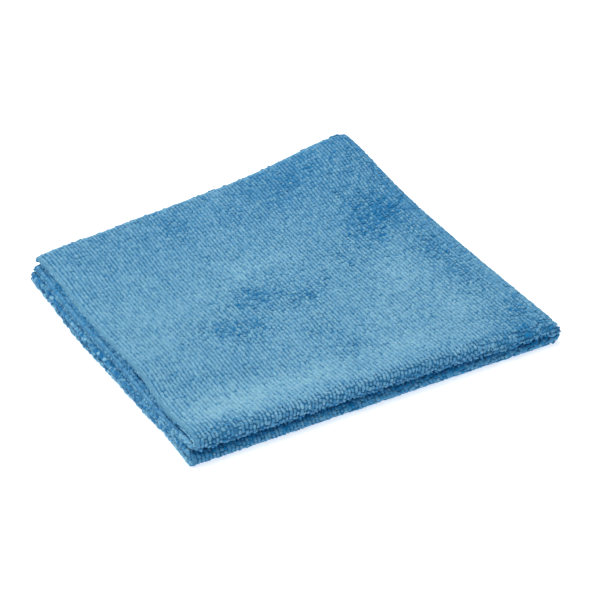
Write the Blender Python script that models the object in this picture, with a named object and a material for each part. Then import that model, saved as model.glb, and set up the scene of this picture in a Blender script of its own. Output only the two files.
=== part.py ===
"""A terry microfibre cleaning cloth, folded in quarters and lying flat.

The cloth is one sheet. It is folded once along X, which joins an outer and an inner layer at the
front edge, and that pair is folded again along Y, which joins the lower and the upper pair at the
right edge. Four layers lie on each other and their hems show along the left edge. Layer 1 is the
lowest. Layers 1 and 4 are the outer ones, and layers 2 and 3 the inner ones.

Lengths are in metres, +Z is up, and z = 0 is the surface that the cloth lies on. The outline is laid
out from the front left corner, and then centred on the origin.
"""

import math

import bmesh
import bpy
import numpy as np

MM = 0.001
QUARTER = math.pi / 2

# The cut cloth, laid out flat
CUT_LENGTH = 400 * MM  # along X, from one hem to the other, across the second fold
CUT_WIDTH = 370 * MM  # along Y, across the first fold
CLOTH_THICKNESS = 2.6 * MM  # from pile to pile
HEM_THICKNESS = 2.0 * MM
HEM_WIDTH = 4 * MM  # the pile thins down over this width
HEM_ROUND = 0.7 * MM  # how far the hem's rounded edge stands out
LAYER_GAP = 0.6 * MM

# The folded outline, seen from above
FIRST_FOLD_Y = (-1.1 * MM, -0.7 * MM)  # at its left end and at its right end
SECOND_FOLD_X = (CUT_LENGTH / 2 + 2.3 * MM, CUT_LENGTH / 2 - 9.4 * MM)  # at its front and back ends
SECOND_FOLD_HOLLOW = 1.5 * MM  # how far it curves in at its middle
CORNER_ROUND = 1.6 * MM  # how far it curves in at the front, where both folds meet
CORNER_REACH = 8 * MM
SIDE_EDGE_Y = (174.6 * MM, 193.0 * MM)  # at its left end and at its right end
SIDE_JOIN = 0.75  # from this share of the way to the second fold, the layers' side edges run together
SIDE_POWER = 4  # the higher, the nearer to its side edge a layer's own line is felt

# Where each layer's hem lies, from the front left corner to the back left one
HEM_COLUMNS = ("y_mm", "layer_1", "layer_2", "layer_3", "layer_4")
HEM_LINES = (
    (0, -1.6, -1.2, 0.2, 0.6),
    (12, -1.5, -1.2, -0.3, 1.3),
    (25, -1.4, -1.5, -1.6, 0.7),
    (43, -2.7, -2.7, -2.1, 0.8),
    (62, -3.9, -3.8, -2.2, 1.5),
    (85, -4.7, -4.6, -2.7, 0.5),
    (105, -6.2, -6.0, -4.0, -0.9),
    (125, -6.4, -6.2, -4.8, -1.1),
    (150, -5.8, -5.6, -4.3, -0.7),
    (174, -6.1, -6.0, -4.2, -2.2),
)

# How far each layer's side edge lies behind the common line, from the hem to the second fold
SIDE_COLUMNS = ("x_mm", "layer_1", "layer_2", "layer_3", "layer_4")
SIDE_EDGES = (
    (-6, -2.0, -2.4, -3.0, -0.8),
    (10, -1.6, -1.0, -1.6, -0.2),
    (60, -0.8, 0.3, -1.2, 0.0),
    (120, -1.4, -0.6, 0.2, 0.0),
    (180, -0.5, -0.8, -0.8, 0.0),
)

# How much further apart the layers lie than LAYER_GAP. Gap 1 is between layers 1 and 2, and so on.
# Each row is a soft swelling.
LOOSE_COLUMNS = ("gap", "x_mm", "y_mm", "reach_x_mm", "reach_y_mm", "opening_mm")
LOOSE_PLACES = (
    (2, 178, 190, 34, 44, 7.2),  # the second fold's bend stands open at the side edge
    (2, 104, 190, 72, 34, 2.8),
    (3, 14, 172, 24, 22, 1.4),  # a ripple near the left corner
    (3, 54, 182, 20, 26, 0.9),
    (3, 142, 186, 24, 30, 0.5),
    (2, 0, 176, 26, 26, 0.9),
    (1, -4, 118, 16, 40, 0.7),
    (2, -2, 92, 26, 26, 0.6),
    (3, -2, 61, 15, 15, 1.9),  # a ripple in the upper hem
    (2, 0, 0, 60, 34, 0.9),
    (2, 96, 0, 60, 22, 0.8),
    (3, 64, 62, 40, 30, 0.5),
    (2, 128, 118, 44, 34, 0.6),
    (3, 118, 40, 26, 38, 0.3),
)
ROLL_SWELL = 1.0 * MM  # how much the first fold's rounded edge is thicker than the pair behind it
ROLL_REACH = 15 * MM
HELD_REACH = 60 * MM  # up to here from the first fold, thin hems stay as far up as full layers
PRESSED_MARGIN = 8 * MM  # gaps 1 and 3 are pressed shut from here to the second fold
PRESSED_RUN = 50 * MM  # and open up over this run

# Mesh steps
ARC_STEPS = 7  # in each quarter turn of a fold
RUN_STEPS_X = 17  # from the second fold to the hem
RUN_STEPS_Y = 17  # from the first fold to the side edge
EDGE_CROWDING = 0.65  # above 0, steps are shorter beside folds and hems
RADIUS_ROUNDS = 4  # passes that settle the second fold's radius
TINY = 1e-12  # keeps a zero length from being divided by

CLOTH_BLUE = (0.135, 0.375, 0.640, 1.0)
CLOTH_ROUGHNESS = 0.95


def smooth_step(value):
    """0 below 0, 1 above 1, and an even rise between them."""
    held = np.clip(value, 0.0, 1.0)
    return held * held * (3.0 - 2.0 * held)


def smooth_line(place, knots, levels):
    """A smooth line through the knots, read at these places. It is level outside them."""
    knots = np.asarray(knots, dtype=float)
    levels = np.asarray(levels, dtype=float)
    slopes = np.gradient(levels, knots)
    held = np.clip(place, knots[0], knots[-1])
    k = np.clip(np.searchsorted(knots, held, side="right") - 1, 0, len(knots) - 2)
    width = knots[k + 1] - knots[k]
    t = (held - knots[k]) / width
    start = (1 + 2 * t) * (1 - t) ** 2 * levels[k] + t * (1 - t) ** 2 * width * slopes[k]
    end = t**2 * (3 - 2 * t) * levels[k + 1] + t**2 * (t - 1) * width * slopes[k + 1]
    return start + end


def column(table, names, name):
    """The named column of a table."""
    place = names.index(name)
    return [row[place] for row in table]


def hem_x(layer, y):
    """Where a layer's hem lies at y."""
    knots = column(HEM_LINES, HEM_COLUMNS, "y_mm")
    levels = column(HEM_LINES, HEM_COLUMNS, f"layer_{layer}")
    return smooth_line(y / MM, knots, levels) * MM


def side_y(layer, x):
    """How far behind the common line a layer's side edge lies at x."""
    knots = column(SIDE_EDGES, SIDE_COLUMNS, "x_mm")
    levels = column(SIDE_EDGES, SIDE_COLUMNS, f"layer_{layer}")
    return smooth_line(x / MM, knots, levels) * MM


def loose_opening(gap, x, y):
    """How much further than LAYER_GAP the two layers beside a gap lie apart at (x, y)."""
    opening = np.zeros_like(x)
    for row in LOOSE_PLACES:
        place = dict(zip(LOOSE_COLUMNS, row))
        if place["gap"] != gap:
            continue
        across = (x / MM - place["x_mm"]) / place["reach_x_mm"]
        along = (y / MM - place["y_mm"]) / place["reach_y_mm"]
        opening = opening + place["opening_mm"] * MM * np.exp(-(across**2) - along**2)
    if gap == 2:
        return opening
    roll = ROLL_SWELL * np.exp(-((y / ROLL_REACH) ** 2))
    free = smooth_step((SECOND_FOLD_X[1] - PRESSED_MARGIN - x) / PRESSED_RUN)
    return (opening + roll) * free


def thickness(from_hem, from_side):
    """The sheet's thickness at these distances from its hem and its side edge, both hemmed."""
    pile = smooth_step(from_hem / HEM_WIDTH) * smooth_step(from_side / HEM_WIDTH)
    return HEM_THICKNESS + (CLOTH_THICKNESS - HEM_THICKNESS) * pile


def layer_middles(x, y, from_side):
    """Heights of the middle of layers 1 to 4 at (x, y)."""
    thick = [thickness(x - hem_x(layer, y), from_side) for layer in (1, 2, 3, 4)]
    thinned = 4 * CLOTH_THICKNESS - sum(thick)
    held = thinned / 3 * (1 - smooth_step(y / HELD_REACH))
    middles = [thick[0] / 2]
    for gap in (1, 2, 3):
        apart = (thick[gap - 1] + thick[gap]) / 2 + LAYER_GAP + held + loose_opening(gap, x, y)
        middles.append(middles[-1] + apart)
    return middles


def second_fold_radius(x, y, pair, edge):
    """The radius of the second fold, half way between the outer and the inner layer, and its centre's x.

    pair is half the distance between those layers' middles, and edge is the sheet's thickness.
    """
    radius = pair + (edge + LAYER_GAP) / 2
    for _ in range(RADIUS_ROUNDS):
        start_x = x - radius - pair - edge / 2
        radius = pair + (edge + LAYER_GAP + loose_opening(2, start_x, y)) / 2
    return radius, x - radius - pair - edge / 2


def middle_surface(psi, run_x, upper, phi, run_y, outer):
    """Points in the middle of the folded sheet.

    psi and phi are the angles turned round the second and the first fold, from 0 at the fold's
    outermost line to a quarter turn. run_x and run_y, 0 to 1, are the shares of the flat stretch from
    there to the hem or the side edge. upper and outer are 1 or -1. All are arrays of one shape.
    Returns (points, thickness).
    """
    nominal_pair = (CLOTH_THICKNESS + LAYER_GAP) / 2
    full_y = CUT_WIDTH / 2 - (QUARTER - 1) * nominal_pair + CLOTH_THICKNESS / 2

    # The first fold: an outer and an inner layer round a half circle.
    guess_x = SECOND_FOLD_X[0] * (1 - run_x)
    level_y = np.zeros_like(guess_x)
    swell = np.where(upper > 0, loose_opening(3, guess_x, level_y), loose_opening(1, guess_x, level_y))
    first_radius = nominal_pair + swell / 2
    flat_y = CUT_WIDTH / 2 - QUARTER * first_radius
    from_first = first_radius * (1 - np.cos(phi)) + run_y * flat_y
    side = outer * np.sin(phi)
    outer_share = (1 + side) / 2
    from_side = (1 - run_y) * flat_y
    back = (from_first + CLOTH_THICKNESS / 2) / full_y

    # The second fold: the pair round a half circle, whose radius grows where the fold stands open.
    edge = thickness(np.full_like(from_side, HEM_WIDTH), from_side)
    pair = (edge + LAYER_GAP) / 2
    hollow = SECOND_FOLD_HOLLOW * 4 * back * (1 - back)
    rounding = CORNER_ROUND * np.exp(-((back * SIDE_EDGE_Y[1] / CORNER_REACH) ** 2))
    fold_x = SECOND_FOLD_X[0] + (SECOND_FOLD_X[1] - SECOND_FOLD_X[0]) * back - hollow - rounding
    near_y = FIRST_FOLD_Y[1] + (SIDE_EDGE_Y[1] - FIRST_FOLD_Y[1]) * back
    radius, centre_x = second_fold_radius(fold_x, near_y, pair, edge)

    # Seen from above: out from the second fold's centre, then straight to the layer's own hem.
    table_y = back * SIDE_EDGE_Y[0]
    upper_hem = hem_x(4, table_y) * outer_share + hem_x(3, table_y) * (1 - outer_share)
    lower_hem = hem_x(1, table_y) * outer_share + hem_x(2, table_y) * (1 - outer_share)
    own_hem = np.where(upper > 0, upper_hem, lower_hem)
    turned_x = centre_x + (radius + side * pair) * np.cos(psi)
    x = np.where(run_x > 0, centre_x + (own_hem - centre_x) * run_x, turned_x)
    right = (x - own_hem) / (fold_x - own_hem)
    upper_side = side_y(4, x) * outer_share + side_y(3, x) * (1 - outer_share)
    lower_side = side_y(1, x) * outer_share + side_y(2, x) * (1 - outer_share)
    apart = 1 - smooth_step((right - SIDE_JOIN) / (1 - SIDE_JOIN))
    own_side = np.where(upper > 0, upper_side, lower_side) * apart * back**SIDE_POWER
    near_y = FIRST_FOLD_Y[0] + (FIRST_FOLD_Y[1] - FIRST_FOLD_Y[0]) * right
    far_y = SIDE_EDGE_Y[0] + (SIDE_EDGE_Y[1] - SIDE_EDGE_Y[0]) * right
    y = near_y + (far_y + own_side - near_y) * back

    # Heights: level with the other layers where flat, round the fold's centre where it turns.
    middles = layer_middles(np.minimum(x, centre_x), y, from_side)
    lower_z = (middles[1] + middles[0]) / 2 - side * (middles[1] - middles[0]) / 2
    upper_z = (middles[3] + middles[2]) / 2 + side * (middles[3] - middles[2]) / 2
    flat_z = np.where(upper > 0, upper_z, lower_z)
    turned_z = (middles[3] + middles[0]) / 2 + upper * (radius + side * pair) * np.sin(psi)
    z = np.where(run_x > 0, flat_z, turned_z)
    return np.stack([x, y, z], axis=-1), thickness(x - own_hem, from_side)


def crowded(steps):
    """Shares from 0 to 1 in this many steps, closer together near both ends."""
    even = np.linspace(0.0, 1.0, steps + 1)
    eased = 0.5 - 0.5 * np.cos(math.pi * even)
    return EDGE_CROWDING * eased + (1 - EDGE_CROWDING) * even


def stations(run_steps):
    """Stations across a fold, hem to hem: (angle turned, share of the flat run, side)."""
    arc = [(QUARTER * i / ARC_STEPS, 0.0) for i in range(ARC_STEPS)]
    run = [(QUARTER, share) for share in crowded(run_steps)]
    half = arc + run
    rows = [(angle, share, -1.0) for angle, share in reversed(half[1:])]
    rows += [(angle, share, 1.0) for angle, share in half]
    return np.array(rows)


def sheet_points(columns, rows):
    """The middle surface's points and thickness on a grid of stations."""
    shape = (len(columns), len(rows))
    psi, run_x, upper = (np.broadcast_to(columns[:, i, None], shape) for i in range(3))
    phi, run_y, outer = (np.broadcast_to(rows[None, :, i], shape) for i in range(3))
    return middle_surface(psi, run_x, upper, phi, run_y, outer)


def unit(vectors):
    """The vectors made one long."""
    return vectors / np.maximum(np.linalg.norm(vectors, axis=-1, keepdims=True), TINY)


def border(count_x, count_y):
    """The grid's border as (column, row) places, once round."""
    ring = [(i, 0) for i in range(count_x - 1)]
    ring += [(count_x - 1, j) for j in range(count_y - 1)]
    ring += [(i, count_y - 1) for i in range(count_x - 1, 0, -1)]
    ring += [(0, j) for j in range(count_y - 1, 0, -1)]
    return ring


def outward(points, place):
    """The direction in the sheet that points out of it at a border place."""
    i, j = place
    last_i, last_j = points.shape[0] - 1, points.shape[1] - 1
    out = np.zeros(3)
    if i in (0, last_i):
        out += unit(points[i, j] - points[abs(i - 1), j])
    if j in (0, last_j):
        out += unit(points[i, j] - points[i, abs(j - 1)])
    return unit(out)


def cloth_mesh(name):
    """The folded sheet as one closed mesh: a face on each side of its middle, and round hems."""
    points, thick = sheet_points(stations(RUN_STEPS_X), stations(RUN_STEPS_Y))
    along_x, along_y = np.gradient(points, axis=0), np.gradient(points, axis=1)
    offset = unit(np.cross(along_x, along_y)) * thick[..., None] / 2
    count_x, count_y = thick.shape

    skins = [points + offset, points - offset]
    for skin in skins:
        skin[..., 2] = np.maximum(skin[..., 2], 0.0)
    ring = border(count_x, count_y)
    rim = np.array([points[place] + HEM_ROUND * outward(points, place) for place in ring])
    reach = np.concatenate([skins[0].reshape(-1, 3), skins[1].reshape(-1, 3), rim])
    centre = (reach.min(axis=0) + reach.max(axis=0)) / 2 * np.array([1.0, 1.0, 0.0])

    shell = bmesh.new()
    front, behind = ([[shell.verts.new(p - centre) for p in column] for column in skin] for skin in skins)
    for i in range(count_x - 1):
        for j in range(count_y - 1):
            shell.faces.new([front[i][j], front[i + 1][j], front[i + 1][j + 1], front[i][j + 1]])
            shell.faces.new([behind[i][j + 1], behind[i + 1][j + 1], behind[i + 1][j], behind[i][j]])
    middle = [shell.verts.new(p - centre) for p in rim]
    for k, (i, j) in enumerate(ring):
        n, m = ring[(k + 1) % len(ring)]
        following = middle[(k + 1) % len(ring)]
        shell.faces.new([front[n][m], front[i][j], middle[k], following])
        shell.faces.new([following, middle[k], behind[i][j], behind[n][m]])

    bmesh.ops.recalc_face_normals(shell, faces=shell.faces)
    mesh = bpy.data.meshes.new(name)
    shell.to_mesh(mesh)
    shell.free()
    mesh.shade_smooth()
    return mesh


def cloth_material():
    """Mid blue polyester and polyamide terry, dull."""
    material = bpy.data.materials.new("blue_microfibre_terry")
    material.use_nodes = True
    shader = material.node_tree.nodes["Principled BSDF"]
    shader.inputs["Base Color"].default_value = CLOTH_BLUE
    shader.inputs["Roughness"].default_value = CLOTH_ROUGHNESS
    shader.inputs["Metallic"].default_value = 0.0
    return material


def main():
    """Builds the cloth in an empty scene."""
    for old in list(bpy.data.objects):
        bpy.data.objects.remove(old)
    mesh = cloth_mesh("cloth")
    mesh.materials.append(cloth_material())
    cloth = bpy.data.objects.new("cloth", mesh)
    bpy.context.scene.collection.objects.link(cloth)


main()
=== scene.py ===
"""Looks of a terry microfibre cloth that is folded in quarters and lies flat.

The sheet follows the folds of its solid, from the same named sizes. It is a knitted ground with a hem
all round, and a pile of loops stands in rows on both of its faces. Layer 1 is the lowest of the four
layers. Layers 1 and 4 are the outer ones, and layers 2 and 3 the inner ones.

Lengths are in metres and +Z is up. Places in the tables are laid out from the front left corner, in
millimetres, as in the part's source, and are centred on the origin when a mesh is made.
"""

from __future__ import annotations

import logging
import math
from dataclasses import dataclass, field
from enum import Enum

import bpy
import numpy as np
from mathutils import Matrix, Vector

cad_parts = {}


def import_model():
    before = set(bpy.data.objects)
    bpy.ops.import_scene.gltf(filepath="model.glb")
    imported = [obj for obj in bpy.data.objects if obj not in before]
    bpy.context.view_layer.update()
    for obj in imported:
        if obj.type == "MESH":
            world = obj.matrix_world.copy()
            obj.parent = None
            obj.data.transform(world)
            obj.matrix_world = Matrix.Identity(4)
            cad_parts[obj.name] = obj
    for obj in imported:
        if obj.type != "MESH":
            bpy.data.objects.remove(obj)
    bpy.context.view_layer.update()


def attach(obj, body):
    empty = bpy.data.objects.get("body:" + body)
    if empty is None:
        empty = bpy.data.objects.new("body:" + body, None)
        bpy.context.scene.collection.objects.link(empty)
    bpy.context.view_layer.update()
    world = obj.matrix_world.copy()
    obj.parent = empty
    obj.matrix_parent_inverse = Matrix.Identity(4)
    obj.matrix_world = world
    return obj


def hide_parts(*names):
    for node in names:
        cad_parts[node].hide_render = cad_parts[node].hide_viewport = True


log = logging.getLogger("cloth")

MM = 0.001
QUARTER = math.pi / 2
FLOOR_GAP = 0.03 * MM
WHITE = (1.0, 1.0, 1.0)
PALE_SHEEN = (0.55, 0.82, 1.0)
Array = np.ndarray
Triple = tuple[float, float, float]
Table = tuple[tuple[float, ...], ...]
Socket = bpy.types.NodeSocket
Tint = Triple | Socket


def smooth_step(value: Array | float) -> Array:
    """An even rise from 0 to 1.

    Args:
        value: Where to read it. It is 0 below 0 and 1 above 1.

    Returns:
        The level at each value.
    """
    held = np.clip(value, 0.0, 1.0)
    return held * held * (3.0 - 2.0 * held)


def smooth_line(place: Array, knots: list[float], levels: list[float]) -> Array:
    """A smooth line through knots, level outside them.

    Args:
        place: Where to read it.
        knots: The knots' places, rising.
        levels: The knots' levels.

    Returns:
        The level at each place.
    """
    spots, heights = np.array(knots), np.array(levels)
    slopes = np.gradient(heights, spots)
    held = np.clip(place, knots[0], knots[-1])
    k = np.clip(np.searchsorted(knots, held, side="right") - 1, 0, len(knots) - 2)
    width = spots[k + 1] - spots[k]
    t = (held - spots[k]) / width
    start = (1 + 2 * t) * (1 - t) ** 2 * heights[k] + t * (1 - t) ** 2 * width * slopes[k]
    end = t**2 * (3 - 2 * t) * heights[k + 1] + t**2 * (t - 1) * width * slopes[k + 1]
    return start + end


def unit(vectors: Array) -> Array:
    """The vectors made one long."""
    return vectors / np.maximum(np.linalg.norm(vectors, axis=-1, keepdims=True), 1e-12)


class Skin(Enum):
    """The sheet's two faces. The outer one is the upper face of layer 4."""

    OUTER = 1.0
    INNER = -1.0


class Edge(Enum):
    """The sheet's four edges: whether it is a hem at the left, and which end of the numbers it is."""

    UPPER_HEM = (True, 1.0)
    LOWER_HEM = (True, -1.0)
    UPPER_SIDE = (False, 1.0)
    LOWER_SIDE = (False, -1.0)

    @property
    def on_hem(self) -> bool:
        """Whether it is one of the hems at the left."""
        return self.value[0]

    @property
    def sign(self) -> float:
        """Which end of the across or the along numbers it is."""
        return self.value[1]


@dataclass
class Spots:
    """Places in the middle of the folded sheet, one row in each array for each place.

    across_at and along_at are the numbers that say where a place is, and across and along are the
    directions in which they rise there. outward points out of the outer skin.
    """

    point: Array
    outward: Array
    across: Array
    along: Array
    across_at: Array
    along_at: Array
    thick: Array
    from_hem: Array
    from_side: Array

    @property
    def from_edge(self) -> Array:
        """How far it is to the nearest edge of the sheet."""
        return np.minimum(self.from_hem, self.from_side)

    def chosen(self, picked: Array) -> Spots:
        """The spots that a mask, or a list of their numbers, picks."""
        return Spots(*(values[picked] for values in vars(self).values()))


@dataclass(frozen=True)
class SoftSpot:
    """A soft round or oval place on the top layer. Lengths are in millimetres."""

    x: float
    y: float
    reach_x: float
    reach_y: float
    turn_deg: float
    tone: float
    ruffle: float

    def weight(self, x: Array, y: Array) -> Array:
        """How strongly it is felt at (x, y), from 0 to 1."""
        turn = math.radians(self.turn_deg)
        off_x, off_y = x / MM - self.x, y / MM - self.y
        across = (off_x * math.cos(turn) + off_y * math.sin(turn)) / self.reach_x
        along = (off_y * math.cos(turn) - off_x * math.sin(turn)) / self.reach_y
        return np.exp(-(across**2) - along**2)


@dataclass(frozen=True)
class Crease:
    """A soft trough or ridge in the top layer, along a straight line. Lengths are in millimetres."""

    start_x: float
    start_y: float
    end_x: float
    end_y: float
    reach: float
    rise: float

    def height(self, x: Array, y: Array) -> Array:
        """How far the layer rises at (x, y)."""
        run_x, run_y = self.end_x - self.start_x, self.end_y - self.start_y
        off_x, off_y = x / MM - self.start_x, y / MM - self.start_y
        share = np.clip((off_x * run_x + off_y * run_y) / (run_x**2 + run_y**2), 0.0, 1.0)
        away = np.hypot(off_x - share * run_x, off_y - share * run_y)
        return self.rise * MM * np.exp(-((away / self.reach) ** 2))


CREASES = tuple(
    Crease(*row)
    for row in (
        # start x and y, end x and y, reach, rise
        (46, 66, 86, 94, 8, -0.45),
        (124, 90, 178, 134, 11, -0.45),
        (92, 50, 100, 30, 8, -0.30),
        (6, 100, 68, 88, 9, 0.30),
        (60, 116, 112, 106, 11, 0.30),
        (130, 50, 160, 92, 12, 0.30),
        (70, 176, 76, 150, 8, -0.30),
        (4, 48, 30, 44, 8, -0.25),
        (110, 176, 122, 156, 9, -0.30),
    )
)

# Where the top layer is painted lighter or darker, and where its rows are ruffled. Some spots are patches
# of brushed and ruffled nap, and some are painted light and shade: the top is painted lighter towards the
# front and darker towards the back and the right side
NAP_AND_LIGHT_SPOTS = tuple(
    SoftSpot(*row)
    for row in (
        # x and y, reach in x and y, turn, tone, ruffle
        (79, 89, 11, 9, -20, -0.46, 0.95),
        (59, 73, 15, 6.5, -12, -0.40, 0.95),
        (59, 63, 9, 6, 0, -0.07, 0.45),
        (102, 80, 16, 10, 10, -0.15, 0.60),
        (96, 52, 8, 9, 0, -0.07, 0.45),
        (98, 30, 10, 7, 0, -0.08, 0.45),
        (140, 98, 11, 7, 30, -0.12, 0.60),
        (160, 115, 18, 13, 35, -0.42, 0.95),
        (171, 131, 15, 15, 0, -0.46, 0.85),
        (178, 88, 8, 13, 0, -0.36, 0.85),
        (180, 58, 8, 12, 0, -0.16, 0.50),
        (188, 17, 9, 10, 0, -0.30, 0.60),
        (188, 172, 16, 24, 0, -0.14, 0.20),
        (182, 2, 24, 9, 0, -0.38, 0.40),
        (16, 2, 22, 8, 0, -0.20, 0.45),
        (132, 165, 36, 11, 6, -0.15, 0.12),
        (152, 182, 34, 13, 8, -0.22, 0.10),
        (70, 160, 6, 13, 0, -0.16, 0.40),
        (86, 178, 26, 10, 4, -0.10, 0.15),
        (28, 44, 22, 6, -8, -0.08, 0.20),
        (30, 165, 40, 14, 0, -0.14, 0.10),
        (150, 168, 62, 40, 0, -0.20, 0.10),
        (60, 150, 80, 34, 0, -0.08, 0.00),
        (186, 100, 12, 70, 0, -0.14, 0.10),
        (26, 20, 30, 11, 2, 0.29, 0.00),
        (74, 20, 32, 10, 0, 0.17, 0.00),
        (132, 22, 24, 10, 0, 0.15, 0.05),
        (130, 44, 26, 11, 0, 0.10, 0.05),
        (58, 106, 22, 8, 10, 0.12, 0.00),
        (24, 96, 24, 7, 0, 0.10, 0.00),
        (92, 114, 20, 9, 10, 0.13, 0.00),
        (154, 72, 14, 12, 20, 0.18, 0.05),
        (164, 34, 12, 9, 0, 0.14, 0.05),
    )
)

# Where each layer's hem lies, from the front left corner to the back left one: y, layers 1 to 4
HEM_LINES = (
    (0, -1.6, -1.2, 0.2, 0.6),
    (12, -1.5, -1.2, -0.3, 1.3),
    (25, -1.4, -1.5, -1.6, 0.7),
    (43, -2.7, -2.7, -2.1, 0.8),
    (62, -3.9, -3.8, -2.2, 1.5),
    (85, -4.7, -4.6, -2.7, 0.5),
    (105, -6.2, -6.0, -4.0, -0.9),
    (125, -6.4, -6.2, -4.8, -1.1),
    (150, -5.8, -5.6, -4.3, -0.7),
    (174, -6.1, -6.0, -4.2, -2.2),
)

# How far each layer's side edge lies behind the common line: x, layers 1 to 4
SIDE_EDGES = (
    (-6, -2.0, -2.4, -3.0, -0.8),
    (10, -1.6, -1.0, -1.6, -0.2),
    (60, -0.8, 0.3, -1.2, 0.0),
    (120, -1.4, -0.6, 0.2, 0.0),
    (180, -0.5, -0.8, -0.8, 0.0),
)

# Soft swellings between two layers: gap, x, y, reach in x, reach in y, opening
LOOSE_PLACES = (
    (2, 178, 190, 34, 44, 7.2),
    (2, 104, 190, 72, 34, 2.8),
    (3, 14, 172, 24, 22, 1.4),
    (3, 54, 182, 20, 26, 0.9),
    (3, 142, 186, 24, 30, 0.5),
    (2, 0, 176, 26, 26, 0.9),
    (1, -4, 118, 16, 40, 0.7),
    (2, -2, 92, 26, 26, 0.6),
    (3, -2, 61, 15, 15, 1.9),
    (2, 0, 0, 60, 34, 0.9),
    (2, 96, 0, 60, 22, 0.8),
    (3, 64, 62, 40, 30, 0.5),
    (2, 128, 118, 44, 34, 0.6),
    (3, 118, 40, 26, 38, 0.3),
)


def layer_line(table: Table, layer: int, place: Array) -> Array:
    """Reads one layer's line from a table.

    Args:
        table: HEM_LINES or SIDE_EDGES.
        layer: From 1 to 4.
        place: Where along the line.

    Returns:
        The line's level at each place.
    """
    return smooth_line(place / MM, [row[0] for row in table], [row[layer] for row in table]) * MM


@dataclass(frozen=True)
class FoldedSheet:
    """The form of the folded sheet, which repeats the sizes of its solid.

    Places on it are given as (across, along). across goes from -1 at the lower pair's hem, through 0
    at the second fold, to 1 at the upper pair's hem. along goes from -1 at the inner layers' side
    edge, through 0 at the first fold, to 1 at the outer layers' side edge.
    """

    cut_width: float = 370 * MM
    thick: float = 2.6 * MM
    hem_thick: float = 2.0 * MM
    hem_width: float = 4 * MM
    hem_round: float = 0.7 * MM
    layer_gap: float = 0.6 * MM
    first_fold_y: tuple[float, float] = (-1.1 * MM, -0.7 * MM)
    second_fold_x: tuple[float, float] = (202.3 * MM, 190.6 * MM)
    second_fold_hollow: float = 1.5 * MM
    bend_extra: float = 3 * MM
    longest_bend_extra: float = 4 * MM
    corner_round: float = 1.6 * MM
    corner_reach: float = 8 * MM
    side_edge_y: tuple[float, float] = (174.6 * MM, 193.0 * MM)
    side_fade: float = 0.25
    side_power: int = 4
    roll_swell: float = 1.0 * MM
    roll_reach: float = 15 * MM
    held_reach: float = 60 * MM
    closed_margin: float = 8 * MM
    closing_reach: float = 50 * MM
    quarter_arc: float = 9.6 * MM
    centre: tuple[float, float] = (96.938 * MM, 96.214 * MM)
    light_ramp: float = 12.0
    probe: float = 0.0012
    rounds: int = 4

    @property
    def half_length(self) -> float:
        """From the middle of the unfolded cloth to one of its hems."""
        return self.second_fold_x[0] + self.bend_extra

    def edge_length(self, edge: Edge) -> float:
        """How long an edge is, from end to end of the unfolded cloth."""
        return self.cut_width if edge.on_hem else 2 * self.half_length

    def opening(self, gap: int, x: Array, y: Array) -> Array:
        """How much further apart than usual the layers beside a gap lie.

        Args:
            gap: 1 is the gap between layers 1 and 2, and so on.
            x: Where, to the right.
            y: Where, to the back.

        Returns:
            The opening at each place.
        """
        wide = np.zeros_like(x)
        for own, at_x, at_y, reach_x, reach_y, height in LOOSE_PLACES:
            if own == gap:
                off = ((x / MM - at_x) / reach_x) ** 2 + ((y / MM - at_y) / reach_y) ** 2
                wide = wide + height * MM * np.exp(-off)
        if gap == 2:
            return wide
        roll = self.roll_swell * np.exp(-((y / self.roll_reach) ** 2))
        closed_x = self.second_fold_x[1] - self.closed_margin
        return (wide + roll) * smooth_step((closed_x - x) / self.closing_reach)

    def thickness(self, from_hem: Array, from_side: Array) -> Array:
        """The sheet's thickness from pile to pile, at these distances from its edges."""
        pile = smooth_step(from_hem / self.hem_width) * smooth_step(from_side / self.hem_width)
        return self.hem_thick + (self.thick - self.hem_thick) * pile

    def layer_middles(self, x: Array, y: Array, from_side: Array) -> list[Array]:
        """Heights of the middle of layers 1 to 4.

        Args:
            x: Where, to the right.
            y: Where, to the back.
            from_side: The distance from the side edge.

        Returns:
            One array for each layer.
        """
        thick = [self.thickness(x - layer_line(HEM_LINES, layer, y), from_side) for layer in (1, 2, 3, 4)]
        held = (4 * self.thick - sum(thick)) / 3 * (1 - smooth_step(y / self.held_reach))
        middles = [thick[0] / 2]
        for gap in (1, 2, 3):
            apart = (thick[gap - 1] + thick[gap]) / 2 + self.layer_gap + held + self.opening(gap, x, y)
            middles.append(middles[-1] + apart)
        return middles

    def read(self, across: Array, along: Array) -> tuple[Array, Array, Array, Array]:
        """The middle of the folded sheet.

        Args:
            across: From -1 to 1, hem to hem.
            along: From -1 to 1, side edge to side edge.

        Returns:
            Points, thickness, distance from the hem, and distance from the side edge.
        """
        upper, outer = np.where(across >= 0, 1.0, -1.0), np.where(along >= 0, 1.0, -1.0)
        share_x, share_y = np.clip(np.abs(across), 0, 1), np.clip(np.abs(along), 0, 1)
        nominal_pair = (self.thick + self.layer_gap) / 2
        full_y = self.cut_width / 2 - (QUARTER - 1) * nominal_pair + self.thick / 2

        # The first fold
        length = self.second_fold_x[0]
        guess_x = length - np.maximum(share_x * (length + self.longest_bend_extra) - self.quarter_arc, 0)
        level_y = np.zeros_like(guess_x)
        swell = np.where(upper > 0, self.opening(3, guess_x, level_y), self.opening(1, guess_x, level_y))
        first_radius = nominal_pair + swell / 2
        flat_y = self.cut_width / 2 - QUARTER * first_radius
        turned = np.minimum(share_y * self.cut_width / 2 / first_radius, QUARTER)
        run_y = np.maximum(share_y * self.cut_width / 2 - QUARTER * first_radius, 0) / flat_y
        from_first = first_radius * (1 - np.cos(turned)) + run_y * flat_y
        side = outer * np.sin(turned)
        outer_share = (1 + side) / 2
        from_side = (1 - run_y) * flat_y
        back = (from_first + self.thick / 2) / full_y

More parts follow.
